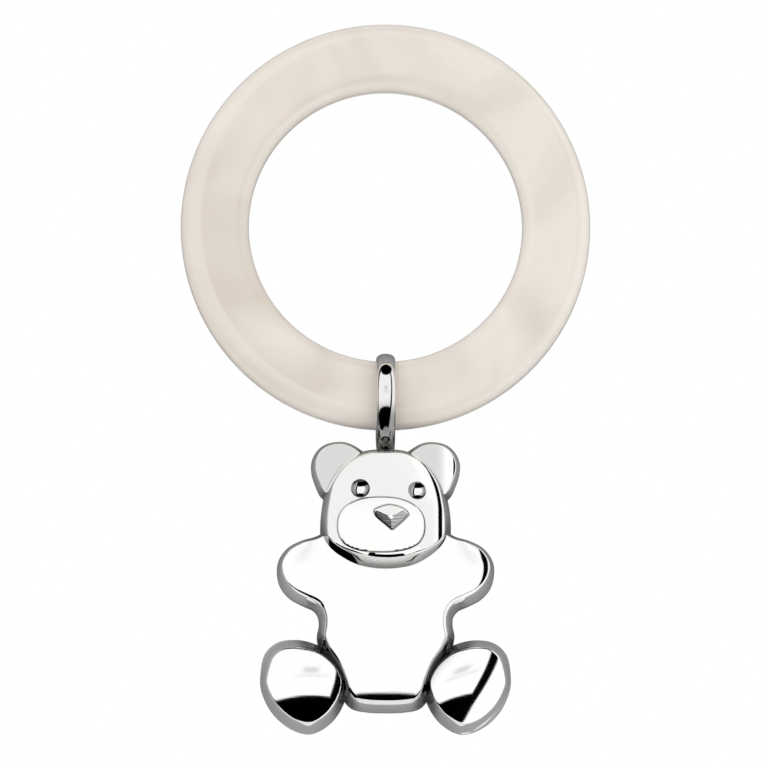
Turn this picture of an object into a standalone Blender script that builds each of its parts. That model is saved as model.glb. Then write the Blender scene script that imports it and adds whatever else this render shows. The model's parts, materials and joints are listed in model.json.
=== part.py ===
"""Baby rattle: a hollow silver teddy bear hanging from a round teething ring.

The bear is two thin stampings soldered edge to edge round a few loose steel
pellets. A half-round wire loop is soldered to the top of the head and runs
round the ring, so the bear swings on the ring. The ring stands in the XZ
plane and the bear faces -Y. The origin is on the inside of the ring, at the
top, where a finger or a hook carries it. Lengths are in metres.
"""
import math

import bpy

# Driving dimensions
RING_OUTER_RADIUS = 0.0275
RING_INNER_RADIUS = 0.01835
RING_THICKNESS = 0.0066
RING_EDGE_RADIUS = 0.0028
RING_STEPS = 64
RING_CORNER_STEPS = 4

LOOP_INNER_RADIUS = 0.0054
LOOP_WIRE_WIDTH = 0.0025
LOOP_WIRE_THICKNESS = 0.00095
LOOP_WIRE_LAND = 0.00025        # straight side of the half-round wire
LOOP_DROP = 0.00045             # loop centre below the middle of the ring's tube
LOOP_STEPS = 40
LOOP_DOME_STEPS = 8

GAP = 0.0003                    # clearance kept between neighbouring pieces
WALL = 0.0006                   # sheet thickness of both stampings
SKIRT = 0.001                   # how far a raised form runs on below the seam
FORM_STEPS = 24
FORM_CROWN_STEPS = 4

SADDLE_RADIUS = 0.002
SADDLE_TOP = -0.0061            # measured from the swing axis, like all bear heights
SADDLE_BOTTOM = -0.0083

PELLET_RADIUS = 0.0014
PELLET_MARGIN = 0.0003          # free play between a pellet and the belly wall
PELLET_SIDES = (0.0, 0.0031, -0.0031, 0.0062, -0.0062)
BALL_SEGMENTS = 16
BALL_RINGS = 10

# The raised forms of the stamping, seen from the front: centre (side, height),
# half width, half height, lean in degrees away from the middle, mirrored or not
HEAD = ((0.0, -0.01544), 0.0086, 0.0080, 0.0, False)
TORSO = ((0.0, -0.03068), 0.0093, 0.0119, 0.0, False)
EAR = ((0.00621, -0.00950), 0.00378, 0.00365, 0.0, True)
ARM = ((0.00958, -0.02354), 0.00486, 0.00486, 0.0, True)
FOOT = ((0.01113, -0.03901), 0.00491, 0.00710, 35.0, True)
MUZZLE = ((0.0, -0.01760), 0.0062, 0.0039, 0.0, False)
NOSE = ((0.0, -0.01700), 0.0024, 0.0017, 0.0, False)

# For each side: the form, its height above the seam, the flat share of its radius
FRONT_FORMS = (
    (HEAD, 0.0052, 0.60),
    (TORSO, 0.0038, 0.62),
    (EAR, 0.0027, 0.40),
    (ARM, 0.0037, 0.45),
    (FOOT, 0.0057, 0.10),
    (MUZZLE, 0.0060, 0.55),
    (NOSE, 0.0067, 0.40),
)
BACK_FORMS = (
    (HEAD, 0.0032, 0.60),
    (TORSO, 0.0034, 0.62),
    (EAR, 0.0022, 0.40),
    (ARM, 0.0026, 0.45),
    (FOOT, 0.0030, 0.40),
)
CROWN_POWER = 2.4               # squareness of a form's rounded edge
EYE_SPREAD = 0.00383
EYE_HEIGHT = -0.01325
EYE_BALL_RADIUS = 0.0027        # radius of the ball that dents each eye
EYE_BALL_RISE = 0.0072          # that ball's centre above the seam
TRIM_REACH = 0.06

# Worked out from the driving dimensions
RING_CENTRE_Z = -RING_INNER_RADIUS
TUBE_CENTRE_RADIUS = (RING_OUTER_RADIUS + RING_INNER_RADIUS) / 2
SWING_AXIS_Z = RING_CENTRE_Z - TUBE_CENTRE_RADIUS
LOOP_OUTER_RADIUS = LOOP_INNER_RADIUS + LOOP_WIRE_THICKNESS

PEARL = ("pearl_plastic", (0.79, 0.72, 0.65), 0.22, 0.0)
SILVER = ("polished_silver", (0.90, 0.89, 0.87), 0.08, 1.0)
STEEL = ("bright_steel", (0.62, 0.62, 0.63), 0.25, 1.0)


def clear_scene():
    """Remove whatever the file already holds."""
    for obj in list(bpy.data.objects):
        bpy.data.objects.remove(obj, do_unlink=True)


def new_collection(name):
    collection = bpy.data.collections.new(name)
    bpy.context.scene.collection.children.link(collection)
    return collection


def new_material(finish):
    name, colour, roughness, metallic = finish
    material = bpy.data.materials.new(name)
    material.use_nodes = True
    shader = material.node_tree.nodes["Principled BSDF"]
    shader.inputs["Base Color"].default_value = (*colour, 1.0)
    shader.inputs["Roughness"].default_value = roughness
    shader.inputs["Metallic"].default_value = metallic
    return material


def turned(name, profile, steps, closed, collection):
    """Turn a profile of (radius, height) points about the local Z axis."""
    edges = [(i, i + 1) for i in range(len(profile) - 1)]
    if closed:
        edges.append((len(profile) - 1, 0))
    mesh = bpy.data.meshes.new(name)
    mesh.from_pydata([(radius, 0.0, height) for radius, height in profile], edges, [])
    obj = bpy.data.objects.new(name, mesh)
    collection.objects.link(obj)
    screw = obj.modifiers.new("turn", 'SCREW')
    screw.axis = 'Z'
    screw.angle = math.tau
    screw.steps = steps
    screw.render_steps = steps
    screw.use_merge_vertices = not closed
    screw.merge_threshold = 0.00001
    screw.use_smooth_shade = True
    return obj


def add_boolean(obj, operation, other):
    """Cut or join with another object, or with every object of a collection."""
    boolean = obj.modifiers.new(operation.lower(), 'BOOLEAN')
    boolean.operation = operation
    boolean.solver = 'EXACT'
    if isinstance(other, bpy.types.Collection):
        boolean.operand_type = 'COLLECTION'
        boolean.collection = other
    else:
        boolean.object = other


def adopt(obj, name, collection, parent, location, rotation):
    """Name a new object, move it to its collection and place it under its parent."""
    obj.name = name
    obj.data.name = name
    for other in list(obj.users_collection):
        other.objects.unlink(obj)
    collection.objects.link(obj)
    obj.parent = parent
    obj.location = location
    obj.rotation_euler = [math.radians(angle) for angle in rotation]
    return obj


def add_empty(name, collection, parent, location, rotation):
    empty = bpy.data.objects.new(name, None)
    collection.objects.link(empty)
    empty.parent = parent
    empty.location = location
    empty.rotation_euler = [math.radians(angle) for angle in rotation]
    return empty


def mark_cutter(obj):
    obj.hide_render = True
    obj.display_type = 'WIRE'
    return obj


def add_cylinder(name, radius, length, collection, parent, location, rotation):
    bpy.ops.mesh.primitive_cylinder_add(vertices=32, radius=radius, depth=length)
    return adopt(bpy.context.object, name, collection, parent, location, rotation)


def add_sphere(name, radius, collection, parent, location):
    bpy.ops.mesh.primitive_uv_sphere_add(segments=BALL_SEGMENTS, ring_count=BALL_RINGS,
                                         radius=radius)
    return adopt(bpy.context.object, name, collection, parent, location, (0, 0, 0))


def make_ring(parts):
    """Solid ring with a rounded, nearly rectangular section."""
    half = RING_THICKNESS / 2
    outer = RING_OUTER_RADIUS - RING_EDGE_RADIUS
    inner = RING_INNER_RADIUS + RING_EDGE_RADIUS
    lift = half - RING_EDGE_RADIUS
    profile = []
    for radius, height, start in ((outer, lift, 90), (outer, -lift, 0),
                                  (inner, -lift, -90), (inner, lift, -180)):
        for step in range(RING_CORNER_STEPS + 1):
            angle = math.radians(start - 90 * step / RING_CORNER_STEPS)
            profile.append((radius + RING_EDGE_RADIUS * math.cos(angle),
                            height + RING_EDGE_RADIUS * math.sin(angle)))
    ring = turned("teething_ring", profile, RING_STEPS, True, parts)
    ring.location = (0.0, 0.0, RING_CENTRE_Z)
    ring.rotation_euler = (math.radians(90), 0.0, 0.0)
    ring.data.materials.append(new_material(PEARL))


def make_loop(parts, pivot):
    """Closed loop of half-round wire, flat side inwards, its axis along X."""
    half_width = LOOP_WIRE_WIDTH / 2
    land = LOOP_INNER_RADIUS + LOOP_WIRE_LAND
    dome = LOOP_WIRE_THICKNESS - LOOP_WIRE_LAND
    profile = [(LOOP_INNER_RADIUS, half_width)]
    for step in range(LOOP_DOME_STEPS + 1):
        angle = math.radians(90 - 180 * step / LOOP_DOME_STEPS)
        profile.append((land + dome * math.cos(angle), half_width * math.sin(angle)))
    profile.append((LOOP_INNER_RADIUS, -half_width))
    loop = turned("bail_loop", profile, LOOP_STEPS, True, parts)
    adopt(loop, "bail_loop", parts, pivot, (0.0, 0.0, -LOOP_DROP), (0, 90, 0))
    loop.data.materials.append(new_material(SILVER))


def make_saddle(parts, cutters, pivot):
    """Small round foot between loop and head, hollowed to the loop's curve."""
    saddle = add_cylinder("bail_saddle", SADDLE_RADIUS, SADDLE_TOP - SADDLE_BOTTOM, parts,
                          pivot, (0.0, 0.0, (SADDLE_TOP + SADDLE_BOTTOM) / 2), (0, 0, 0))
    cradle = add_cylinder("loop_clearance", LOOP_OUTER_RADIUS + GAP, 4 * SADDLE_RADIUS,
                          cutters, pivot, (0.0, 0.0, -LOOP_DROP), (0, 90, 0))
    mark_cutter(cradle)
    add_boolean(saddle, 'DIFFERENCE', cradle)
    saddle.data.materials.append(new_material(SILVER))


def form_profile(half_width, height, flat_share, skirt):
    """Flat top, then a quarter superellipse down to the seam, then a straight skirt."""
    flat = half_width * flat_share
    profile = [(0.0, height)]
    for step in range(FORM_CROWN_STEPS):
        angle = math.radians(90 * step / FORM_CROWN_STEPS)
        out = math.sin(angle) ** (2 / CROWN_POWER)
        up = math.cos(angle) ** (2 / CROWN_POWER)
        profile.append((flat + (half_width - flat) * out, height * up))
    profile += [(half_width, 0.0), (half_width, -skirt), (0.0, -skirt)]
    return profile


def add_form(name, form, height, flat_share, inset, skirt, collection, frame):
    """Add one raised form, or a mirrored pair, in the stamping's own frame.

    That frame has X to the side, Y up the bear and Z out of the seam plane.
    """
    (side, up), half_width, half_height, lean, mirrored = form
    half_width -= inset
    half_height -= inset
    profile = form_profile(half_width, height - inset, flat_share, skirt)
    for sign in (1, -1) if mirrored else (1,):
        solid = turned(name, profile, FORM_STEPS, False, collection)
        adopt(solid, name, collection, frame, (sign * side, up, 0.0), (0, 0, -sign * lean))
        solid.scale = (1.0, half_height / half_width, 1.0)
        mark_cutter(solid)


def make_stamping(name, forms, dents, frame, parts, cutters):
    """Join the raised forms, hollow them to sheet thickness and trim at the seam."""
    outside = bpy.data.collections.new(name + "_outside")
    inside = bpy.data.collections.new(name + "_inside")
    cutters.children.link(outside)
    cutters.children.link(inside)
    for number, (form, height, flat_share) in enumerate(forms):
        skirt = SKIRT * (1 + 0.1 * number)
        add_form(name + "_form", form, height, flat_share, 0.0, skirt, outside, frame)
        if form is not NOSE:
            add_form(name + "_hollow", form, height, flat_share, WALL, 2 * skirt, inside, frame)

    notch_middle = SADDLE_BOTTOM - GAP + 2 * SADDLE_RADIUS
    mark_cutter(add_cylinder(name + "_notch", SADDLE_RADIUS + GAP, 4 * SADDLE_RADIUS,
                             inside, frame, (0.0, notch_middle, 0.0), (90, 0, 0)))
    for side, up, rise in dents:
        mark_cutter(add_sphere(name + "_dent", EYE_BALL_RADIUS, inside, frame, (side, up, rise)))

    bpy.ops.mesh.primitive_cube_add(size=2 * TRIM_REACH)
    trim = adopt(bpy.context.object, name + "_trim", cutters, frame,
                 (0.0, 0.0, GAP / 2 - TRIM_REACH), (0, 0, 0))
    mark_cutter(trim)

    shell = outside.objects[0]
    outside.objects.unlink(shell)
    parts.objects.link(shell)
    shell.name = name
    shell.data.name = name
    shell.hide_render = False
    shell.display_type = 'TEXTURED'
    add_boolean(shell, 'UNION', outside)
    add_boolean(shell, 'DIFFERENCE', inside)
    add_boolean(shell, 'DIFFERENCE', trim)
    shell.data.materials.append(new_material(SILVER))


def pellet_rest_height(side):
    """Lowest height at which a pellet fits in the hollow belly at this sideways place."""
    (_, middle), half_width, half_height, _, _ = TORSO
    margin = WALL + PELLET_RADIUS + PELLET_MARGIN
    share = side / (half_width - margin)
    return middle - (half_height - margin) * math.sqrt(1 - share * share)


def make_pellets(parts, pivot):
    """Loose steel balls lying at the bottom of the belly."""
    for number, side in enumerate(PELLET_SIDES, start=1):
        place = (side, 0.0, pellet_rest_height(side))
        pellet = add_sphere(f"pellet_{number}", PELLET_RADIUS, parts, pivot, place)
        pellet.data.shade_smooth()
        pellet.data.materials.append(new_material(STEEL))


def main():
    clear_scene()
    parts = new_collection("baby_rattle")
    cutters = new_collection("cutters")
    make_ring(parts)
    pivot = add_empty("bear_pivot", parts, None, (0.0, 0.0, SWING_AXIS_Z), (0, 0, 0))
    make_loop(parts, pivot)
    make_saddle(parts, cutters, pivot)
    eyes = [(sign * EYE_SPREAD, EYE_HEIGHT, EYE_BALL_RISE) for sign in (1, -1)]
    front = add_empty("front_frame", parts, pivot, (0.0, 0.0, 0.0), (90, 0, 0))
    back = add_empty("back_frame", parts, pivot, (0.0, 0.0, 0.0), (90, 0, 180))
    make_stamping("front_shell", FRONT_FORMS, eyes, front, parts, cutters)
    make_stamping("back_shell", BACK_FORMS, [], back, parts, cutters)
    make_pellets(parts, pivot)


main()
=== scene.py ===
"""Looks of the baby rattle: a polished silver teddy bear on a pearly teething ring."""
import json
import math

import bmesh
import bpy
import numpy as np
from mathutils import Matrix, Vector

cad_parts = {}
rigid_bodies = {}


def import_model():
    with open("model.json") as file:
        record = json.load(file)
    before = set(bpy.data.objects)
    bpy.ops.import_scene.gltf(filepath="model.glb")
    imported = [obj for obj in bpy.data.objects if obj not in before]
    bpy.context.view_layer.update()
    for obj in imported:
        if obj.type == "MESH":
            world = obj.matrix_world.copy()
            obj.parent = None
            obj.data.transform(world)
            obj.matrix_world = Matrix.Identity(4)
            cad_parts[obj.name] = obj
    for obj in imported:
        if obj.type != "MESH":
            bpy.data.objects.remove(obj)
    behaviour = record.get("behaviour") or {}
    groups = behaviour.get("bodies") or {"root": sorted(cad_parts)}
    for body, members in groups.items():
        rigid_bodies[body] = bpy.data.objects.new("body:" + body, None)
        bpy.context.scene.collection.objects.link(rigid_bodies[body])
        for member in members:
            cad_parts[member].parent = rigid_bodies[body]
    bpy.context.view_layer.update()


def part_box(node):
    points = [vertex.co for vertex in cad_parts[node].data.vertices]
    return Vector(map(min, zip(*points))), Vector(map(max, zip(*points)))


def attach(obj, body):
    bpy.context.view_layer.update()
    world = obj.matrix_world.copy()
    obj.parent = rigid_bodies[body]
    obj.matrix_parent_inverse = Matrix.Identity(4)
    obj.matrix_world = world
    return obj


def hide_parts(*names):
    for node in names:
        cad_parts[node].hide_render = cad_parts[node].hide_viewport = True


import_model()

# ---------------------------------------------------------------------------
# Teething ring: one solid moulding of cream plastic with a mother-of-pearl
# swirl, tumbled until its shoulders are round. Nothing is fixed to it; the
# bear's loop runs round it.
# ---------------------------------------------------------------------------
ring_low, ring_high = (np.array(corner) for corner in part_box("teething_ring"))
RING_OUTER = (ring_high[0] - ring_low[0]) / 2
RING_HALF_THICKNESS = (ring_high[1] - ring_low[1]) / 2
RING_CENTRE = (ring_low + ring_high) / 2
RING_INNER = -RING_CENTRE[2]            # the origin is on the inside of the ring's top
TUBE_RADIUS = (RING_OUTER + RING_INNER) / 2
TUBE_HALF_WIDTH = (RING_OUTER - RING_INNER) / 2
RING_SQUARENESS = 3.0
SHOULDER_HIGHLIGHT_SHIFT = 0.0006                   # how far off centre the painted shoulder highlights sit
OUTER_SHOULDER_HIGHLIGHT = (0.0252, 0.0256)       # radii where a painted shoulder highlight starts and where it's full
INNER_SHOULDER_HIGHLIGHT = (0.0198, 0.0190)


def grid_mesh(name, points, close_rows=False, cap_ends=False):
    """Turn a grid of points into a smooth quad mesh.

    points has the shape (rows, columns, 3), and the columns always close on
    themselves. The quad between row i and i + 1 and column j and j + 1 takes
    those four corners in order. close_rows joins the last row to the first;
    cap_ends adds a fan to the middle of the first and of the last row. The
    faces are turned so that the closed surface's volume is positive.
    """
    rows, columns, _ = points.shape
    row = np.arange(rows if close_rows else rows - 1)[:, None]
    column = np.arange(columns)[None, :]
    next_row = (row + 1) % rows
    next_column = (column + 1) % columns
    corners = (row * columns + column, row * columns + next_column,
               next_row * columns + next_column, next_row * columns + column)
    quads = np.stack(np.broadcast_arrays(*corners), axis=-1).reshape(-1, 4)
    vertices = points.reshape(-1, 3)
    faces = quads.tolist()
    if cap_ends:
        first = len(vertices)
        around = np.arange(columns)
        after = (around + 1) % columns
        last_row = (rows - 1) * columns
        ends = np.stack([points[0].mean(axis=0), points[-1].mean(axis=0)])
        vertices = np.vstack([vertices, ends])
        top = np.stack([after, around, np.full(columns, first)], axis=-1)
        low = np.stack([last_row + around, last_row + after, np.full(columns, first + 1)], axis=-1)
        faces += top.tolist() + low.tolist()
    mesh = bpy.data.meshes.new(name)
    mesh.from_pydata(vertices.tolist(), [], faces)
    mesh.update()
    solid = bmesh.new()
    solid.from_mesh(mesh)
    if solid.calc_volume(signed=True) < 0:
        mesh.flip_normals()
    solid.free()
    mesh.shade_smooth()
    return mesh


def add_piece(name, mesh, material, body, slot_name, *nodes):
    """Link a finished mesh as a piece that rides on a body and stands for CAD nodes."""
    piece = bpy.data.objects.new(name, mesh)
    bpy.context.scene.collection.objects.link(piece)
    mesh.materials.clear()
    mesh.materials.append(material)
    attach(piece, body)
    if nodes:
        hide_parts(*nodes)
    return piece


def signed_power(value, power):
    """|value|^power with the sign of value."""
    return np.sign(value) * np.abs(value) ** power


def ring_surface(steps_round, steps_section):
    """The ring: a superellipse section carried round a circle in the XZ plane.

    With b running round the section, the section's point is
    (half width * cos(b)^(2/n), half thickness * sin(b)^(2/n)); with a running
    round the ring, the radius is tube radius plus the first, and Y the second.
    """
    around = np.linspace(0, math.tau, steps_round, endpoint=False)[:, None]
    section = np.linspace(0, math.tau, steps_section, endpoint=False)[None, :]
    out = signed_power(np.cos(section), 2 / RING_SQUARENESS)
    side = signed_power(np.sin(section), 2 / RING_SQUARENESS)
    radius = TUBE_RADIUS + TUBE_HALF_WIDTH * out
    x = RING_CENTRE[0] + radius * np.cos(around)
    z = RING_CENTRE[2] + radius * np.sin(around)
    y = RING_CENTRE[1] + RING_HALF_THICKNESS * side + 0 * around
    return np.stack([x, y, z], axis=-1)


def new_material(name):
    """A new material that holds only its Principled shader and its output."""
    material = bpy.data.materials.new(name)
    material.use_nodes = True
    nodes = material.node_tree.nodes
    return material, nodes, material.node_tree.links, nodes["Principled BSDF"]


def pearl_material():
    """Cream plastic with slow pearly swirls in it, painted highlights on its shoulders, painted
    shade on its left side and a clear gloss.

    The swirl is stretched noise. The painted shoulder highlights are where the distance from a
    point just beside the ring's centre, in the ring's plane, is nearly the
    outer radius, or little more than the inner one. The left side is painted darker by a ramp along
    X.
    """
    material, nodes, links, shader = new_material("pearl_plastic")
    coordinates = nodes.new("ShaderNodeTexCoord")
    swirl = nodes.new("ShaderNodeTexNoise")
    swirl.inputs["Scale"].default_value = 42.0
    swirl.inputs["Detail"].default_value = 2.5
    swirl.inputs["Roughness"].default_value = 0.42
    swirl.inputs["Distortion"].default_value = 1.6
    links.new(coordinates.outputs["Object"], swirl.inputs["Vector"])
    split = nodes.new("ShaderNodeSeparateXYZ")
    links.new(coordinates.outputs["Object"], split.inputs[0])
    # Painted shade: the ring's left side is painted darker and its right side a little paler.
    shaded_left_side = nodes.new("ShaderNodeMapRange")
    shaded_left_side.inputs["From Min"].default_value = -0.030
    shaded_left_side.inputs["From Max"].default_value = -0.008
    shaded_left_side.inputs["To Min"].default_value = -0.16
    shaded_left_side.inputs["To Max"].default_value = 0.07
    links.new(split.outputs["X"], shaded_left_side.inputs["Value"])
    paleness = nodes.new("ShaderNodeMath")
    paleness.operation = 'ADD'
    links.new(swirl.outputs["Fac"], paleness.inputs[0])
    links.new(shaded_left_side.outputs["Result"], paleness.inputs[1])
    tone = nodes.new("ShaderNodeValToRGB")
    tone.color_ramp.elements[0].position = 0.30
    tone.color_ramp.elements[0].color = (0.69, 0.62, 0.545, 1)
    tone.color_ramp.elements[1].position = 0.66
    tone.color_ramp.elements[1].color = (0.82, 0.765, 0.70, 1)
    links.new(paleness.outputs[0], tone.inputs["Fac"])

    # Painted highlight: the ring's shoulders are painted paler.
    flat = nodes.new("ShaderNodeMapping")
    flat.inputs["Location"].default_value = (-SHOULDER_HIGHLIGHT_SHIFT, 0.0, -RING_CENTRE[2] - SHOULDER_HIGHLIGHT_SHIFT / 2)
    flat.inputs["Scale"].default_value = (1.0, 0.0, 1.0)
    links.new(coordinates.outputs["Object"], flat.inputs["Vector"])
    reach = nodes.new("ShaderNodeVectorMath")
    reach.operation = 'LENGTH'
    links.new(flat.outputs["Vector"], reach.inputs[0])
    shoulders = []
    for start, end in (OUTER_SHOULDER_HIGHLIGHT, INNER_SHOULDER_HIGHLIGHT):
        edge = nodes.new("ShaderNodeMapRange")
        edge.interpolation_type = 'SMOOTHSTEP'
        edge.inputs["From Min"].default_value = start
        edge.inputs["From Max"].default_value = end
        links.new(reach.outputs["Value"], edge.inputs["Value"])
        shoulders.append(edge.outputs["Result"])
    either = nodes.new("ShaderNodeMath")
    either.operation = 'MAXIMUM'
    links.new(shoulders[0], either.inputs[0])
    links.new(shoulders[1], either.inputs[1])
    share = nodes.new("ShaderNodeMath")
    share.operation = 'MULTIPLY'
    share.inputs[1].default_value = 0.42
    links.new(either.outputs[0], share.inputs[0])
    shoulder_highlight = nodes.new("ShaderNodeMix")
    shoulder_highlight.data_type = 'RGBA'
    shoulder_highlight.inputs["B"].default_value = (0.86, 0.81, 0.745, 1)
    links.new(share.outputs[0], shoulder_highlight.inputs["Factor"])
    links.new(tone.outputs["Color"], shoulder_highlight.inputs["A"])
    links.new(shoulder_highlight.outputs["Result"], shader.inputs["Base Color"])
    shader.inputs["Roughness"].default_value = 0.25
    shader.inputs["Subsurface Weight"].default_value = 0.4
    shader.inputs["Subsurface Radius"].default_value = (1.0, 0.85, 0.7)
    shader.inputs["Subsurface Scale"].default_value = 0.002
    shader.inputs["Coat Weight"].default_value = 0.35
    shader.inputs["Coat Roughness"].default_value = 0.06
    return material


ring_mesh = grid_mesh("pearl_ring", ring_surface(256, 72), close_rows=True)
add_piece("pearl_ring", ring_mesh, pearl_material(), "ring", "pearl_ring", "teething_ring")

# ---------------------------------------------------------------------------
# Hanging loop: half-round sterling wire bent into a ring round the teething
# ring, flat side in, and closed with solder where it meets the head.
# ---------------------------------------------------------------------------
loop_low, loop_high = (np.array(corner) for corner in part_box("bail_loop"))
LOOP_CENTRE = (loop_low + loop_high) / 2
LOOP_OUTER = (loop_high[2] - loop_low[2]) / 2
WIRE_HALF_WIDTH = (loop_high[0] - loop_low[0]) / 2
WIRE_THICKNESS = 0.00095
WIRE_LAND = 0.00022
LOOP_SAG = 0.0002
LOOP_STRETCH = 0.09
LOOP_SHADE_TOP = LOOP_CENTRE[2] - 0.0006     # the loop is painted darker below this, as painted shade
LOOP_SHADE_FULL = LOOP_CENTRE[2] - 0.0034
LOOP_SHADE_LEVEL = 0.38
PAINTED_SHADE_REACH = 0.0034
PAINTED_SHADE_LEVEL = 0.27


def silver_material(name, colour, scratch_depth):
    """Polished silver: faint cloudy wear in the gloss and hair-fine polishing lines."""
    material, nodes, links, shader = new_material(name)
    shader.inputs["Base Color"].default_value = colour
    shader.inputs["Metallic"].default_value = 1.0
    coordinates = nodes.new("ShaderNodeTexCoord")
    clouds = nodes.new("ShaderNodeTexNoise")
    clouds.inputs["Scale"].default_value = 260.0
    clouds.inputs["Detail"].default_value = 4.0
    links.new(coordinates.outputs["Object"], clouds.inputs["Vector"])
    gloss = nodes.new("ShaderNodeMapRange")
    gloss.inputs["To Min"].default_value = 0.03
    gloss.inputs["To Max"].default_value = 0.085
    links.new(clouds.outputs["Fac"], gloss.inputs["Value"])
    links.new(gloss.outputs["Result"], shader.inputs["Roughness"])
    stretch = nodes.new("ShaderNodeMapping")
    stretch.inputs["Rotation"].default_value = (0.0, math.radians(24), 0.0)
    stretch.inputs["Scale"].default_value = (400.0, 400.0, 9000.0)
    links.new(coordinates.outputs["Object"], stretch.inputs["Vector"])
    scratches = nodes.new("ShaderNodeTexNoise")
    scratches.inputs["Scale"].default_value = 1.0
    scratches.inputs["Detail"].default_value = 2.0
    links.new(stretch.outputs["Vector"], scratches.inputs["Vector"])
    bump = nodes.new("ShaderNodeBump")
    bump.inputs["Strength"].default_value = scratch_depth
    bump.inputs["Distance"].default_value = 0.00001
    links.new(scratches.outputs["Fac"], bump.inputs["Height"])
    links.new(bump.outputs["Normal"], shader.inputs["Normal"])
    return material


def darken_where(material, amount, level):
    """Paint shade into a metal's colour: blend it to level times itself by the socket amount, 0 to
    1.
    """
    nodes, links = material.node_tree.nodes, material.node_tree.links
    shader = nodes["Principled BSDF"]
    bright = tuple(shader.inputs["Base Color"].default_value)
    blend = nodes.new("ShaderNodeMix")
    blend.data_type = 'RGBA'
    blend.inputs["A"].default_value = bright
    blend.inputs["B"].default_value = tuple(level * part for part in bright[:3]) + (1,)
    links.new(amount, blend.inputs["Factor"])
    links.new(blend.outputs["Result"], shader.inputs["Base Color"])


def add_painted_shade(material):
    """Paint shade onto the steep walls that stand close to other metal, where
    ambient occlusion finds them covered: by covered * steep, each 0 to 1."""
    nodes, links = material.node_tree.nodes, material.node_tree.links
    hidden = nodes.new("ShaderNodeAmbientOcclusion")
    hidden.samples = 12
    hidden.only_local = True
    hidden.inputs["Distance"].default_value = PAINTED_SHADE_REACH
    covered = nodes.new("ShaderNodeMapRange")
    covered.inputs["From Min"].default_value = 0.995
    covered.inputs["From Max"].default_value = 0.90
    links.new(hidden.outputs["AO"], covered.inputs["Value"])
    coordinates = nodes.new("ShaderNodeTexCoord")
    split = nodes.new("ShaderNodeSeparateXYZ")
    links.new(coordinates.outputs["Normal"], split.inputs["Vector"])
    facing = nodes.new("ShaderNodeMath")
    facing.operation = 'ABSOLUTE'
    links.new(split.outputs["Y"], facing.inputs[0])
    steep = nodes.new("ShaderNodeMapRange")
    steep.inputs["From Min"].default_value = 0.95
    steep.inputs["From Max"].default_value = 0.84
    links.new(facing.outputs["Value"], steep.inputs["Value"])
    amount = nodes.new("ShaderNodeMath")
    amount.operation = 'MULTIPLY'
    links.new(covered.outputs["Result"], amount.inputs[0])
    links.new(steep.outputs["Result"], amount.inputs[1])
    darken_where(material, amount.outputs["Value"], PAINTED_SHADE_LEVEL)


def add_painted_loop_shade(material, start, end):
    """Paint shade into the silver below the height start, fully from the height end
    downwards, so that the loop is darker towards its bottom."""
    nodes, links = material.node_tree.nodes, material.node_tree.links
    split = nodes.new("ShaderNodeSeparateXYZ")
    links.new(nodes.new("ShaderNodeTexCoord").outputs["Object"], split.inputs["Vector"])
    darkened = nodes.new("ShaderNodeMapRange")
    darkened.interpolation_type = 'SMOOTHSTEP'
    darkened.inputs["From Min"].default_value = start
    darkened.inputs["From Max"].default_value = end
    links.new(split.outputs["Z"], darkened.inputs["Value"])
    darken_where(material, darkened.outputs["Result"], LOOP_SHADE_LEVEL)


def loop_surface(steps_round, steps_dome):
    """The loop: a half-round section carried round a circle in the YZ plane.

    The section runs over the dome, a half ellipse as high as the wire is
    thick less its straight land, and closes along the flat inner side. The
    loop is drawn out downwards: below its middle its height grows by
    stretch * sin(a)^2, where a is the angle round it.
    """
    around = np.linspace(0, math.tau, steps_round, endpoint=False)[:, None]
    dome = np.linspace(math.pi / 2, -math.pi / 2, steps_dome)
    inner = LOOP_OUTER - WIRE_THICKNESS
    radius = inner + WIRE_LAND + (WIRE_THICKNESS - WIRE_LAND) * np.cos(dome)
    across = WIRE_HALF_WIDTH * np.sin(dome)
    flat = np.linspace(-0.92, 0.92, 9)
    radius = np.concatenate([radius, np.full(flat.size, inner)])[None, :]
    across = np.concatenate([across, WIRE_HALF_WIDTH * flat])[None, :]
    below = np.maximum(-np.sin(around), 0)
    x = LOOP_CENTRE[0] + across + 0 * around
    y = LOOP_CENTRE[1] + radius * np.cos(around)
    z = LOOP_CENTRE[2] - LOOP_SAG + radius * np.sin(around) * (1 + LOOP_STRETCH * below ** 2)
    return np.stack([x, y, z], axis=-1)


drawn_wire = silver_material("drawn_silver_wire", (0.80, 0.795, 0.785, 1), 0.25)
# Painted shade: the lower part of the loop is painted darker.
add_painted_loop_shade(drawn_wire, LOOP_SHADE_TOP, LOOP_SHADE_FULL)
polished = silver_material("polished_silver", (0.93, 0.925, 0.915, 1), 0.2)
# Painted shade: ambient occlusion darkens the steep walls next to other metal.
add_painted_shade(polished)
loop_mesh = grid_mesh("silver_loop", loop_surface(160, 25), close_rows=True)
add_piece("silver_loop", loop_mesh, drawn_wire, "bear", "silver", "bail_loop")

# ---------------------------------------------------------------------------
# Solder foot: a small flared collar of solder that runs up the outside of the
# loop and spreads over the top seam of the head.
# ---------------------------------------------------------------------------
SWING_AXIS = np.array([0.0, 0.0, RING_CENTRE[2] - TUBE_RADIUS])
FOOT_TOP = LOOP_CENTRE[2] - LOOP_OUTER - 0.0001
FOOT_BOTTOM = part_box("bail_saddle")[0][2]
FOOT_NECK = (0.00122, 0.00120)          # half width and half depth at the top
FOOT_FLARE = (0.0014, 0.0013)


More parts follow.
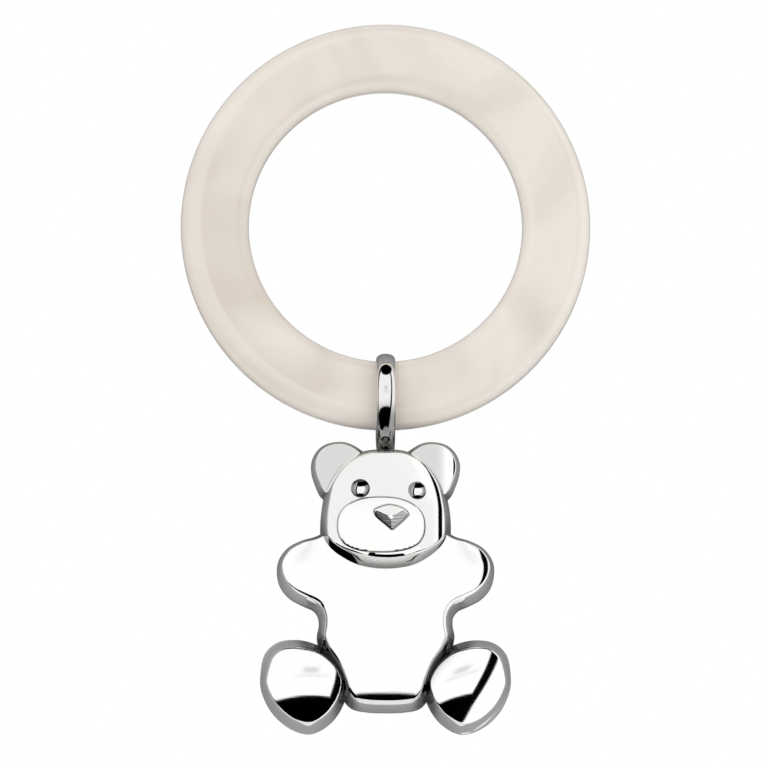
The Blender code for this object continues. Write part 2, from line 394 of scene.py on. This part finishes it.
def foot_surface(steps_round, steps_up):
    """The solder foot: an oval collar that flares out downwards along a hollow curve.

    Going down from 0 to 1 its half width grows as neck + flare * t^3.
    """
    around = np.linspace(0, math.tau, steps_round, endpoint=False)[None, :]
    down = np.linspace(0, 1, steps_up)[:, None]
    width, depth = (neck + flare * down ** 3 for neck, flare in zip(FOOT_NECK, FOOT_FLARE))
    z = FOOT_TOP + (FOOT_BOTTOM - FOOT_TOP) * down + 0 * around
    return np.stack([width * np.cos(around), -depth * np.sin(around), z], axis=-1)


foot_mesh = grid_mesh("solder_foot", foot_surface(64, 16), cap_ends=True)
add_piece("solder_foot", foot_mesh, drawn_wire, "bear", "silver", "bail_saddle")

# ---------------------------------------------------------------------------
# Front stamping of the bear: one sheet of sterling silver pressed in a die
# into head, ears, muzzle, nose, arms, belly and feet, then polished. Heights
# are in millimetres, measured from the swing axis and out of the seam plane.
# ---------------------------------------------------------------------------
MM = 0.001
SHARP_ANGLE = math.radians(24)


def smooth_outline(points, count):
    """A closed curve through a few points, as an even row of count points.

    Each stretch is a Catmull-Rom cubic, so the curve leaves every point
    towards the line between its two neighbours.
    """
    knots = np.array(points, dtype=float)
    before, after = np.roll(knots, 1, axis=0), np.roll(knots, -1, axis=0)
    beyond = np.roll(knots, -2, axis=0)
    t = np.linspace(0, 1, 40, endpoint=False)[None, :, None]
    p0, p1, p2, p3 = (k[:, None, :] for k in (before, knots, after, beyond))
    curve = 0.5 * (2 * p1 + (p2 - p0) * t + (2 * p0 - 5 * p1 + 4 * p2 - p3) * t ** 2
                   + (3 * p1 - p0 - 3 * p2 + p3) * t ** 3)
    curve = curve.reshape(-1, 2)
    steps = np.linalg.norm(np.roll(curve, -1, axis=0) - curve, axis=1)
    along = np.concatenate([[0], np.cumsum(steps)])
    closed = np.vstack([curve, curve[:1]])
    even = np.linspace(0, along[-1], count, endpoint=False)
    return np.stack([np.interp(even, along, closed[:, k]) for k in (0, 1)], axis=-1)


def mirrored(half):
    """A whole outline from its right half, listed from the top middle to the bottom middle."""
    right = [tuple(point) for point in half]
    left = [(-x, z) for x, z in reversed(right) if x > 0]
    return list(reversed(right + left))


def oval(centre, half_width, half_height, power, count):
    """A superellipse outline: |x / half width|^power + |z / half height|^power = 1."""
    turn = np.linspace(0, math.tau, count, endpoint=False)
    x = half_width * signed_power(np.cos(turn), 2 / power)
    z = half_height * signed_power(np.sin(turn), 2 / power)
    return np.stack([centre[0] + x, centre[1] + z], axis=-1)


def edge_distance(points, outline):
    """Distance from each point to the nearest stretch of a closed outline."""
    start = outline[None, :, :]
    run = (np.roll(outline, -1, axis=0) - outline)[None, :, :]
    away = points[:, None, :] - start
    share = np.clip((away * run).sum(-1) / (run * run).sum(-1), 0, 1)
    gap = away - share[..., None] * run
    return np.sqrt((gap * gap).sum(-1)).min(axis=1)


WALL_BEND = 1.7
SEAM_LAND = 0.5


def wall_rise(distance, width):
    """Share of its wall that a point has climbed: 1 - (1 - d / width)^bend, and 1 past width."""
    return 1 - (1 - np.clip(distance / width, 0, 1)) ** WALL_BEND


def pressed(wall, width, crown=0.0, crown_run=1.0, tip=(0.0, 0.0), centre=(0.0, 0.0)):
    """Height over the seam of a form, at distance d in from its edge.

    land + wall * wall_rise(d) + crown * (1 - exp(-d / crown run)), less the
    tip, which is how much the form leans over sideways and upwards.
    """
    def height(points, distance):
        lean = (points - np.array(centre)) @ np.array(tip)
        return (SEAM_LAND + wall * wall_rise(distance, width)
                + crown * (1 - np.exp(-distance / crown_run)) - lean)
    return height


EDGE_ROWS = 24
INNER_ROWS = 13


def inward(outline):
    """Unit vectors into a counterclockwise outline, square to it at each point."""
    along = np.roll(outline, -1, axis=0) - np.roll(outline, 1, axis=0)
    along /= np.linalg.norm(along, axis=1, keepdims=True)
    return np.stack([-along[:, 1], along[:, 0]], axis=-1)


def form_solid(outline, centre, height, apron, skirt):
    """A raised form as a closed grid of rings, from its centre out.

    The inner rings shrink the apron's inner edge towards the centre; across
    the apron, apron millimetres wide, they run parallel to the outline. The
    last ring is the skirt, which runs below the seam.
    """
    centre = np.array(centre)
    depth = apron * np.linspace(1, 0, EDGE_ROWS)[:, None, None]
    parallel = outline + depth * inward(outline)
    share = np.linspace(0, 1, INNER_ROWS + 1)[1:-1, None, None] ** 0.8
    rings = np.concatenate([centre + share * (parallel[0] - centre), parallel])
    flat = rings.reshape(-1, 2)
    out = height(flat, edge_distance(flat, outline)).reshape(rings.shape[:2])
    base = np.full((1, outline.shape[0]), -skirt)
    plan = np.concatenate([rings, rings[-1:]])
    return np.dstack([plan, np.concatenate([out, base])])


def place_front(points):
    """From the stamping's own millimetres to the frame, facing -Y."""
    x, z, out = points[..., 0], points[..., 1], points[..., 2]
    return np.stack([x, -out, z], axis=-1) * MM + SWING_AXIS


def place_back(points):
    """The same, turned half round to face +Y."""
    x, z, out = points[..., 0], points[..., 1], points[..., 2]
    return np.stack([-x, out, z], axis=-1) * MM + SWING_AXIS


HEAD_HALF = [(0, -7.45), (3.0, -7.75), (5.8, -9.3), (7.7, -12.0), (8.45, -14.8), (8.75, -17.6),
             (8.5, -20.2), (6.95, -22.5), (3.95, -24.15), (0, -24.7)]
BODY_HALF = [(0, -15.5), (6.2, -17.6), (9.2, -19.2), (11.2, -19.75), (13.1, -20.7),
             (14.3, -22.3), (14.55, -24.1), (14.05, -26.0), (12.8, -27.5), (11.1, -28.45),
             (9.7, -29.1), (9.05, -30.0), (8.95, -31.3), (9.2, -33.0), (8.5, -35.0),
             (7.2, -37.0), (6.3, -39.2), (5.7, -41.0), (4.5, -42.3), (2.5, -42.75), (0, -42.85)]
FOOT_POINTS = [(16.7, -37.3), (16.6, -39.9), (15.2, -42.8), (12.8, -44.95), (10.0, -45.7),
               (7.4, -44.3), (5.7, -41.9), (5.1, -39.2), (5.9, -36.6), (7.8, -34.5),
               (9.7, -33.5), (12.0, -33.05), (14.4, -33.4), (16.1, -34.9)]
EAR_POINTS = [(1.2, -9.8), (2.3, -8.2), (3.6, -7.1), (4.9, -6.4), (6.3, -6.2), (8.0, -6.55),
              (9.2, -7.5), (9.9, -8.9), (9.95, -10.4), (9.45, -12.1), (8.6, -13.8),
              (7.0, -14.8), (4.6, -14.6), (2.2, -12.6)]
NOSE_POINTS = [(-1.85, -16.2), (-0.9, -15.6), (0.6, -15.3), (2.3, -15.8), (3.3, -16.7),
               (3.05, -17.45), (1.9, -18.6), (0.8, -19.3), (-0.3, -18.5), (-1.7, -17.2)]
HEAD_MIDDLE = (0, -15.5)
BODY_MIDDLE = (0, -26.0)
LEFT_EAR_MIDDLE, RIGHT_EAR_MIDDLE = (-6.2, -10.4), (6.2, -10.4)
LEFT_FOOT_MIDDLE, RIGHT_FOOT_MIDDLE = (-10.6, -39.2), (10.6, -39.2)
MUZZLE_MIDDLE = (-0.7, -18.35)
NOSE_TIP = (0.6, -17.3)
FINE = 216                              # points round a large outline
CHEEK_REACH = 8.75
ARM_REACH = 14.5
ARM_MIDDLE = -24.0
BELLY_BOTTOM = -42.85
SOLE_MIDDLE = (9.9, -38.9)
EAR_REACH = 9.95
EYE_RADIUS = 1.27
EYE_DEPTH = 0.62
EYE_CENTRES = ((-3.45, -13.25), (4.2, -13.45))
FACE_LEVEL = 5.3                        # height of the face where the eyes are dented
EYE_ROOM = 1.25                         # sheet kept behind the face, past the plain sheet

head = smooth_outline(mirrored(HEAD_HALF), FINE)
body = smooth_outline(mirrored(BODY_HALF), FINE + 96)
right_foot = smooth_outline(FOOT_POINTS[::-1], FINE)
left_foot = right_foot[::-1] * np.array([-1, 1])
right_ear = smooth_outline(EAR_POINTS[::-1], 160)
left_ear = right_ear[::-1] * np.array([-1, 1])
muzzle = oval(MUZZLE_MIDDLE, 6.65, 4.75, 2.3, FINE)
nose = smooth_outline(NOSE_POINTS[::-1], 144)


def step_down(value, high, low):
    """0 above high, 1 below low, and an even swing between them, 3 t^2 - 2 t^3."""
    t = np.clip((high - value) / (high - low), 0, 1)
    return t * t * (3 - 2 * t)


def head_height(points, distance):
    """The face leans back a little and falls off round its right side, by
    1 - exp(-inside / 1.5); under the chin its wall is wider."""
    side, up = points[:, 0], points[:, 1]
    width = 1.0 + 1.7 * step_down(up, -19.5, -22.8)
    inside = CHEEK_REACH - side - 0.045 * np.maximum(up + 16.5, 0) ** 2
    fall = 1 - np.exp(-np.maximum(inside, 0) / 1.5)
    return SEAM_LAND + 3.3 * wall_rise(distance, width) + 1.7 * fall - 0.05 * (up + 15.5)


def head_core_height(points, distance):
    """The hollow behind the face stays clear of the dented eyes."""
    return head_height(points, distance) - EYE_ROOM


def body_height(points, distance):
    """A steep wall, and a crown that falls off towards the arms' round tips and
    the belly's bottom: crown * (1 - exp(-a / run)) * (1 - exp(-b / run)), with
    a and b the distances in from those two ends."""
    side, up = np.abs(points[:, 0]), points[:, 1]
    bulge = 0.08 * (up - ARM_MIDDLE) ** 2 * np.clip((side - 8) / 3, 0, 1)
    tip = np.maximum(ARM_REACH - side - bulge, 0)
    low = np.maximum(up - BELLY_BOTTOM, 0)
    crown = (1 - np.exp(-tip / 2.1)) * (1 - np.exp(-low / 2.1))
    width = 0.7 + 0.7 * step_down(up, -23.0, -27.5)
    return SEAM_LAND + 2.1 * wall_rise(distance, width) + 1.5 * crown


def foot_height(side, bow, twist):
    """A sole bowed across and along: top - bow * x^2 - 0.058 * y^2 + twist * x * y,
    raised from the seam by a wall that is wider at the toes and the heel. The
    side is -1 or 1, and x grows outwards on both."""

    def height(points, distance):
        x = side * points[:, 0] - SOLE_MIDDLE[0]
        y = points[:, 1] - SOLE_MIDDLE[1]
        width = 0.85 + 0.75 * np.clip(y / 5, 0, 1) + 0.45 * np.clip(-y / 6, 0, 1)
        top = 4.1 - bow * x ** 2 - 0.058 * y ** 2 + twist * x * y
        return SEAM_LAND + wall_rise(distance, width) * np.maximum(top, 1.2)
    return height


def right_ear_height(points, distance):
    """The left ear's height, less a fall round its outer side."""
    inside = np.maximum(EAR_REACH - points[:, 0], 0)
    fall = 0.9 * wall_rise(distance, 0.65) * np.exp(-inside / 1.1)
    return ear_front(points, distance) - fall


def muzzle_height(points, distance):
    """A nearly flat top on a steep wall, which slants out below the mouth."""
    width = 1.0 + 0.7 * step_down(points[:, 1], -20.5, -23.0)
    return SEAM_LAND + 5.75 * wall_rise(distance, width) + 0.1 * (1 - np.exp(-distance / 2.0))


def nose_height(points, distance):
    """Three flat facets that fall away from a low apex, with a rolled edge."""
    reach = points - np.array(NOSE_TIP)
    facets = ((92, 0.06), (238, 0.317), (308, 0.334))    # degrees from sideways, slope
    fall = []
    for degrees, slope in facets:
        turn = math.radians(degrees)
        fall.append(slope * (reach @ np.array([math.cos(turn), math.sin(turn)])))
    return 6.0 + 1.05 * wall_rise(distance, 0.45) - np.maximum(np.max(fall, axis=0), 0)


ear_front = pressed(2.0, 0.65, tip=(0.0, 0.15), centre=(0.0, -9.6))
# Each form: outline, middle, height function, width of the apron of fine rows.
FRONT_FORMS = [
    (head, HEAD_MIDDLE, head_height, 2.2),
    (body, BODY_MIDDLE, body_height, 1.5),
    (left_ear, LEFT_EAR_MIDDLE, ear_front, 0.95),
    (right_ear, RIGHT_EAR_MIDDLE, right_ear_height, 0.95),
    (left_foot, LEFT_FOOT_MIDDLE, foot_height(-1, 0.055, 0.0), 1.7),
    (right_foot, RIGHT_FOOT_MIDDLE, foot_height(1, 0.06, 0.038), 1.7),
    (muzzle, MUZZLE_MIDDLE, muzzle_height, 1.8),
    (nose, NOSE_TIP, nose_height, 0.45),
]


def form_meshes(forms, place):
    """The forms of a stamping as closed meshes, each with a skirt of its own length."""
    meshes = []
    for number, (outline, centre, height, apron) in enumerate(forms):
        solid = form_solid(outline, centre, height, apron, 1.0 + 0.1 * number)
        meshes.append(grid_mesh(f"form_{number}", place(solid), cap_ends=True))
    return meshes


SHEET = 0.65
CORE_APRON = 0.9
CORE_STEP = 4                           # the hollow keeps every fourth point


def core_meshes(forms, place):
    """The hollow behind a stamping: each form moved inwards and down by the sheet."""
    meshes = []
    for number, (outline, centre, height, _) in enumerate(forms):
        inner = (outline + SHEET * inward(outline))[::CORE_STEP]

        def lowered(points, distance, outline=outline, height=height):
            return height(points, edge_distance(points, outline)) - SHEET
        solid = form_solid(inner, centre, lowered, CORE_APRON, 2.0 + 0.1 * number)
        meshes.append(grid_mesh(f"core_{number}", place(solid), cap_ends=True))
    return meshes


def collect(name, meshes):
    """Put meshes into a collection of their own, to be a boolean's operand."""
    collection = bpy.data.collections.new(name)
    bpy.context.scene.collection.children.link(collection)
    for mesh in meshes:
        collection.objects.link(bpy.data.objects.new(mesh.name, mesh))
    return collection


def stamped_mesh(name, forms, cores, trims):
    """Join a stamping's forms, then cut away its hollow and what trims it."""
    base = bpy.data.objects.new(name, forms[0])
    bpy.context.scene.collection.objects.link(base)
    steps = (('UNION', collect("joined", forms[1:])), ('DIFFERENCE', collect("cut", trims)),
             ('DIFFERENCE', collect("hollow", cores)))
    for operation, collection in steps:
        step = base.modifiers.new(collection.name, 'BOOLEAN')
        step.operation = operation
        step.operand_type = 'COLLECTION'
        step.collection = collection
        step.solver = 'EXACT'
    depsgraph = bpy.context.evaluated_depsgraph_get()
    result = bpy.data.meshes.new_from_object(base.evaluated_get(depsgraph))
    result.name = name
    for _, collection in steps:
        for obj in list(collection.objects):
            bpy.data.objects.remove(obj, do_unlink=True)
        bpy.data.collections.remove(collection)
    bpy.data.objects.remove(base, do_unlink=True)
    return result


def seam_block(place):
    """A block over everything behind the seam plane, to trim a stamping flat."""
    low = np.array([-40.0, -80.0])
    high = np.array([40.0, 10.0])
    square = np.array([low, (high[0], low[1]), high, (low[0], high[1])])
    heights = (0.0, -20.0)
    rows = np.stack([np.column_stack([square, np.full(4, h)]) for h in heights])
    return grid_mesh("seam_block", place(rows), cap_ends=True)


def eye_punch(centre):
    """The punch that dents an eye, turned about the outward direction: straight
    above the face, and below it a bowl, -depth * (1 - t^2) at t of its radius."""
    around = np.linspace(0, math.tau, 56, endpoint=False)[None, :]
    bowl = np.linspace(1, 0.05, 12)
    radius = EYE_RADIUS * np.concatenate([[1.0], bowl])
    out = FACE_LEVEL + np.concatenate([[2.0], -EYE_DEPTH * (1 - bowl ** 2)])
    x = centre[0] + radius[:, None] * np.cos(around)
    z = centre[1] + radius[:, None] * np.sin(around)
    return np.stack([x, z, np.broadcast_to(out[:, None], x.shape)], axis=-1)[::-1]


trims = [seam_block(place_front)]
for centre in EYE_CENTRES:
    trims.append(grid_mesh("eye_punch", place_front(eye_punch(centre)), cap_ends=True))
front_cores = [(head, HEAD_MIDDLE, head_core_height, 2.2)] + FRONT_FORMS[1:6]
front_mesh = stamped_mesh("silver_bear_front", form_meshes(FRONT_FORMS, place_front),
                          core_meshes(front_cores, place_front), trims)
front_mesh.set_sharp_from_angle(angle=SHARP_ANGLE)
add_piece("silver_bear_front", front_mesh, polished, "bear", "silver", "front_shell")

# ---------------------------------------------------------------------------
# Back stamping: the same outline, pressed lower and left plain for engraving,
# soldered to the front along the seam.
# ---------------------------------------------------------------------------
ear_back = pressed(1.4, 0.75)
foot_back = pressed(1.6, 1.1, 1.0, 2.0)
BACK_FORMS = [
    (head, HEAD_MIDDLE, pressed(2.2, 1.0, 0.4, 1.5), 1.3),
    (body, BODY_MIDDLE, pressed(2.0, 0.9, 0.8, 1.6), 1.2),
    (left_ear, LEFT_EAR_MIDDLE, ear_back, 0.95),
    (right_ear, RIGHT_EAR_MIDDLE, ear_back, 0.95),
    (left_foot, LEFT_FOOT_MIDDLE, foot_back, 1.4),
    (right_foot, RIGHT_FOOT_MIDDLE, foot_back, 1.4),
]
back_mesh = stamped_mesh("silver_bear_back", form_meshes(BACK_FORMS, place_back),
                         core_meshes(BACK_FORMS, place_back), [seam_block(place_back)])
back_mesh.set_sharp_from_angle(angle=SHARP_ANGLE)
add_piece("silver_bear_back", back_mesh, polished, "bear", "silver", "back_shell")

# ---------------------------------------------------------------------------
# Rattle pellets: five loose steel balls sealed in the hollow bear, cold headed
# from wire, so that each has a thin raised band round it where its two dies met.
# ---------------------------------------------------------------------------
PELLET_COUNT = 5
BAND_DEPTH = 0.02
BAND_HEIGHT = 0.12


def pellet_surface(middle, radius, steps):
    """A ball whose radius is full on its band and less away from it:
    radius * (1 - band depth + band depth * exp(-(height / band)^2)), with
    height and band as shares of the radius."""
    up = np.linspace(0.08, math.pi - 0.08, steps)[:, None]
    around = np.linspace(0, math.tau, 2 * steps, endpoint=False)[None, :]
    bulge = BAND_DEPTH * np.exp(-(np.cos(up) / BAND_HEIGHT) ** 2)
    reach = radius * (1 - BAND_DEPTH + bulge)
    x = middle[0] + reach * np.sin(up) * np.cos(around)
    y = middle[1] + reach * np.sin(up) * np.sin(around)
    z = middle[2] + reach * np.cos(up) + 0 * around
    return np.stack([x, y, z], axis=-1)


def pellet_material():
    """Ground steel: fine cross-grained marks in the gloss of a grey metal."""
    material, nodes, links, shader = new_material("ground_steel")
    shader.inputs["Base Color"].default_value = (0.62, 0.62, 0.63, 1)
    shader.inputs["Metallic"].default_value = 1.0
    coordinates = nodes.new("ShaderNodeTexCoord")
    grain = nodes.new("ShaderNodeTexNoise")
    grain.inputs["Scale"].default_value = 2600.0
    grain.inputs["Detail"].default_value = 3.0
    links.new(coordinates.outputs["Object"], grain.inputs["Vector"])
    gloss = nodes.new("ShaderNodeMapRange")
    gloss.inputs["To Min"].default_value = 0.22
    gloss.inputs["To Max"].default_value = 0.42
    links.new(grain.outputs["Fac"], gloss.inputs["Value"])
    links.new(gloss.outputs["Result"], shader.inputs["Roughness"])
    return material


ground_steel = pellet_material()
for number in range(1, PELLET_COUNT + 1):
    node = f"pellet_{number}"
    pellet_low, pellet_high = (np.array(corner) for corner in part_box(node))
    pellet_radius = (pellet_high[2] - pellet_low[2]) / 2
    surface = pellet_surface((pellet_low + pellet_high) / 2, pellet_radius, 24)
    add_piece(f"steel_{node}", grid_mesh(f"steel_{node}", surface, cap_ends=True), ground_steel,
              node, "pellet_steel", node)

# ---------------------------------------------------------------------------
# Staging: pale floor, white tent light with the dark gaps that polished
# silver needs to show its shape, and the camera.
# ---------------------------------------------------------------------------
CAMERA_AZIMUTH = math.radians(-1.0)
CAMERA_ELEVATION = math.radians(-8.5)
CAMERA_DISTANCE = 2.0
FIELD_WIDTH = 0.1030
CAMERA_TARGET = Vector((-0.0002, 0.0, -0.03962))

FLOOR_HEIGHT = -0.6
FLOOR_RADIUS = 0.25


def floor_surface(steps):
    """A thin round board: its radius is full down its side, and its edge is eased."""
    around = np.linspace(0, math.tau, steps, endpoint=False)[None, :]
    radius = FLOOR_RADIUS * np.array([0.5, 0.99, 1.0, 1.0, 0.99, 0.5])[:, None]
    height = FLOOR_HEIGHT + np.array([0, 0, -0.002, -0.008, -0.01, -0.01])[:, None]
    return np.stack([radius * np.cos(around), radius * np.sin(around), height + 0 * around], axis=-1)


def floor_material():
    """Pale matt board with a barely uneven surface."""
    material, nodes, links, shader = new_material("pale_board")
    coordinates = nodes.new("ShaderNodeTexCoord")
    mottle = nodes.new("ShaderNodeTexNoise")
    mottle.inputs["Scale"].default_value = 12.0
    links.new(coordinates.outputs["Object"], mottle.inputs["Vector"])
    tone = nodes.new("ShaderNodeValToRGB")
    tone.color_ramp.elements[0].color = (0.84, 0.84, 0.83, 1)
    tone.color_ramp.elements[1].color = (0.88, 0.88, 0.87, 1)
    links.new(mottle.outputs["Fac"], tone.inputs["Fac"])
    links.new(tone.outputs["Color"], shader.inputs["Base Color"])
    shader.inputs["Roughness"].default_value = 0.8
    return material


floor_mesh = grid_mesh("floor", floor_surface(96), cap_ends=True)
floor_mesh.materials.append(floor_material())
floor = bpy.data.objects.new("floor", floor_mesh)
bpy.context.scene.collection.objects.link(floor)

camera_data = bpy.data.cameras.new("camera")
camera_data.sensor_width = 36.0
camera_data.lens = 36.0 * CAMERA_DISTANCE / FIELD_WIDTH
camera_data.clip_start = 0.01
camera = bpy.data.objects.new("camera", camera_data)
bpy.context.scene.collection.objects.link(camera)
back = Vector((math.sin(CAMERA_AZIMUTH) * math.cos(CAMERA_ELEVATION),
               -math.cos(CAMERA_AZIMUTH) * math.cos(CAMERA_ELEVATION),
               math.sin(CAMERA_ELEVATION)))
camera.location = CAMERA_TARGET + back * CAMERA_DISTANCE
camera.rotation_euler = back.to_track_quat('Z', 'Y').to_euler()
bpy.context.scene.camera = camera
bpy.context.scene.view_settings.view_transform = 'Standard'

world = bpy.data.worlds.new("light_tent")
bpy.context.scene.world = world
world.use_nodes = True
tree = world.node_tree
tree.nodes.clear()


def math_node(operation, *values):
    """One arithmetic node of the world, fed by numbers or by other nodes' outputs."""
    node = tree.nodes.new("ShaderNodeMath")
    node.operation = operation
    for slot_number, value in enumerate(values):
        if isinstance(value, (int, float)):
            node.inputs[slot_number].default_value = value
        else:
            tree.links.new(value, node.inputs[slot_number])
    return node.outputs[0]


def product(first, second):
    return math_node('MULTIPLY', first, second)


def larger(first, second):
    return math_node('MAXIMUM', first, second)


def other_part(value):
    """1 less the value."""
    return math_node('SUBTRACT', 1.0, value)


def ramp(value, start, end):
    """0 below start, 1 above end, and a soft step between; start may be above end."""
    node = tree.nodes.new("ShaderNodeMapRange")
    node.interpolation_type = 'SMOOTHSTEP'
    node.inputs["From Min"].default_value = start
    node.inputs["From Max"].default_value = end
    tree.links.new(value, node.inputs["Value"])
    return node.outputs["Result"]


def band(value, low, high, soft):
    """1 between low and high, and 0 outside, with soft edges."""
    rise = ramp(value, low - soft, low + soft)
    fall = ramp(value, high + soft, high - soft)
    return product(rise, fall)


direction = tree.nodes.new("ShaderNodeTexCoord").outputs["Generated"]
split = tree.nodes.new("ShaderNodeSeparateXYZ")
tree.links.new(direction, split.inputs[0])
forward = product(split.outputs["Y"], -1.0)
DEGREE = 180 / math.pi
azimuth = product(math_node('ARCTAN2', split.outputs["X"], forward), DEGREE)
elevation = product(math_node('ARCSINE', split.outputs["Z"]), DEGREE)
from_front = product(math_node('ARCCOSINE', forward), DEGREE)

# The tent is white in front, with a tall dark gap to the right, a low one by
# the floor, one overhead, and a thin one round its mouth on the left and above.
# Behind the bear it is grey, and white again straight behind.
leaning = math_node('SUBTRACT', azimuth, product(elevation, 0.25))
tall_gap = product(band(leaning, 36, 51, 1.5), band(elevation, -38, 65, 4))
low_gap = product(band(azimuth, -85, 42, 3), band(elevation, -66, -20, 2))
overhead_gap = ramp(elevation, 56, 60)
up_left = math_node('SUBTRACT', split.outputs["Z"], split.outputs["X"])
mouth_line = product(band(from_front, 80, 97, 2), ramp(up_left, 0.15, 0.35))
dark = larger(larger(larger(tall_gap, low_gap), overhead_gap), product(mouth_line, 0.95))

# Two soft grey cards in the tent's front shade the face and the ears.
face_card = product(band(azimuth, -26, 30, 9), band(elevation, 11, 17, 2.5))
ear_card = product(band(azimuth, -14, 13, 8), band(elevation, 20, 29, 5))
shade = math_node('ADD', product(face_card, 0.13), product(ear_card, 0.34))
tent_level = product(math_node('SUBTRACT', 1.08, shade), other_part(dark))

fading = tree.nodes.new("ShaderNodeMapRange")
for key, value in (("From Min", 104), ("From Max", 165), ("To Min", 0.42), ("To Max", 0.17)):
    fading.inputs[key].default_value = value
tree.links.new(from_front, fading.inputs["Value"])
straight_behind = ramp(from_front, 172, 176)
back_level = math_node('ADD', fading.outputs["Result"], product(straight_behind, 0.7))
behind = larger(ramp(from_front, 99, 106), ramp(elevation, -72, -78))
mirrored_level = math_node('ADD', product(tent_level, other_part(behind)),
                           product(behind, back_level))

# The camera and matt surfaces see plain white all round instead.
light_path = tree.nodes.new("ShaderNodeLightPath")
plain = larger(light_path.outputs["Is Camera Ray"], light_path.outputs["Is Diffuse Ray"])
strength = math_node('ADD', product(mirrored_level, other_part(plain)), plain)
background = tree.nodes.new("ShaderNodeBackground")
tree.links.new(strength, background.inputs["Strength"])
background.inputs["Color"].default_value = (1, 1, 1, 1)
output = tree.nodes.new("ShaderNodeOutputWorld")
tree.links.new(background.outputs[0], output.inputs["Surface"])
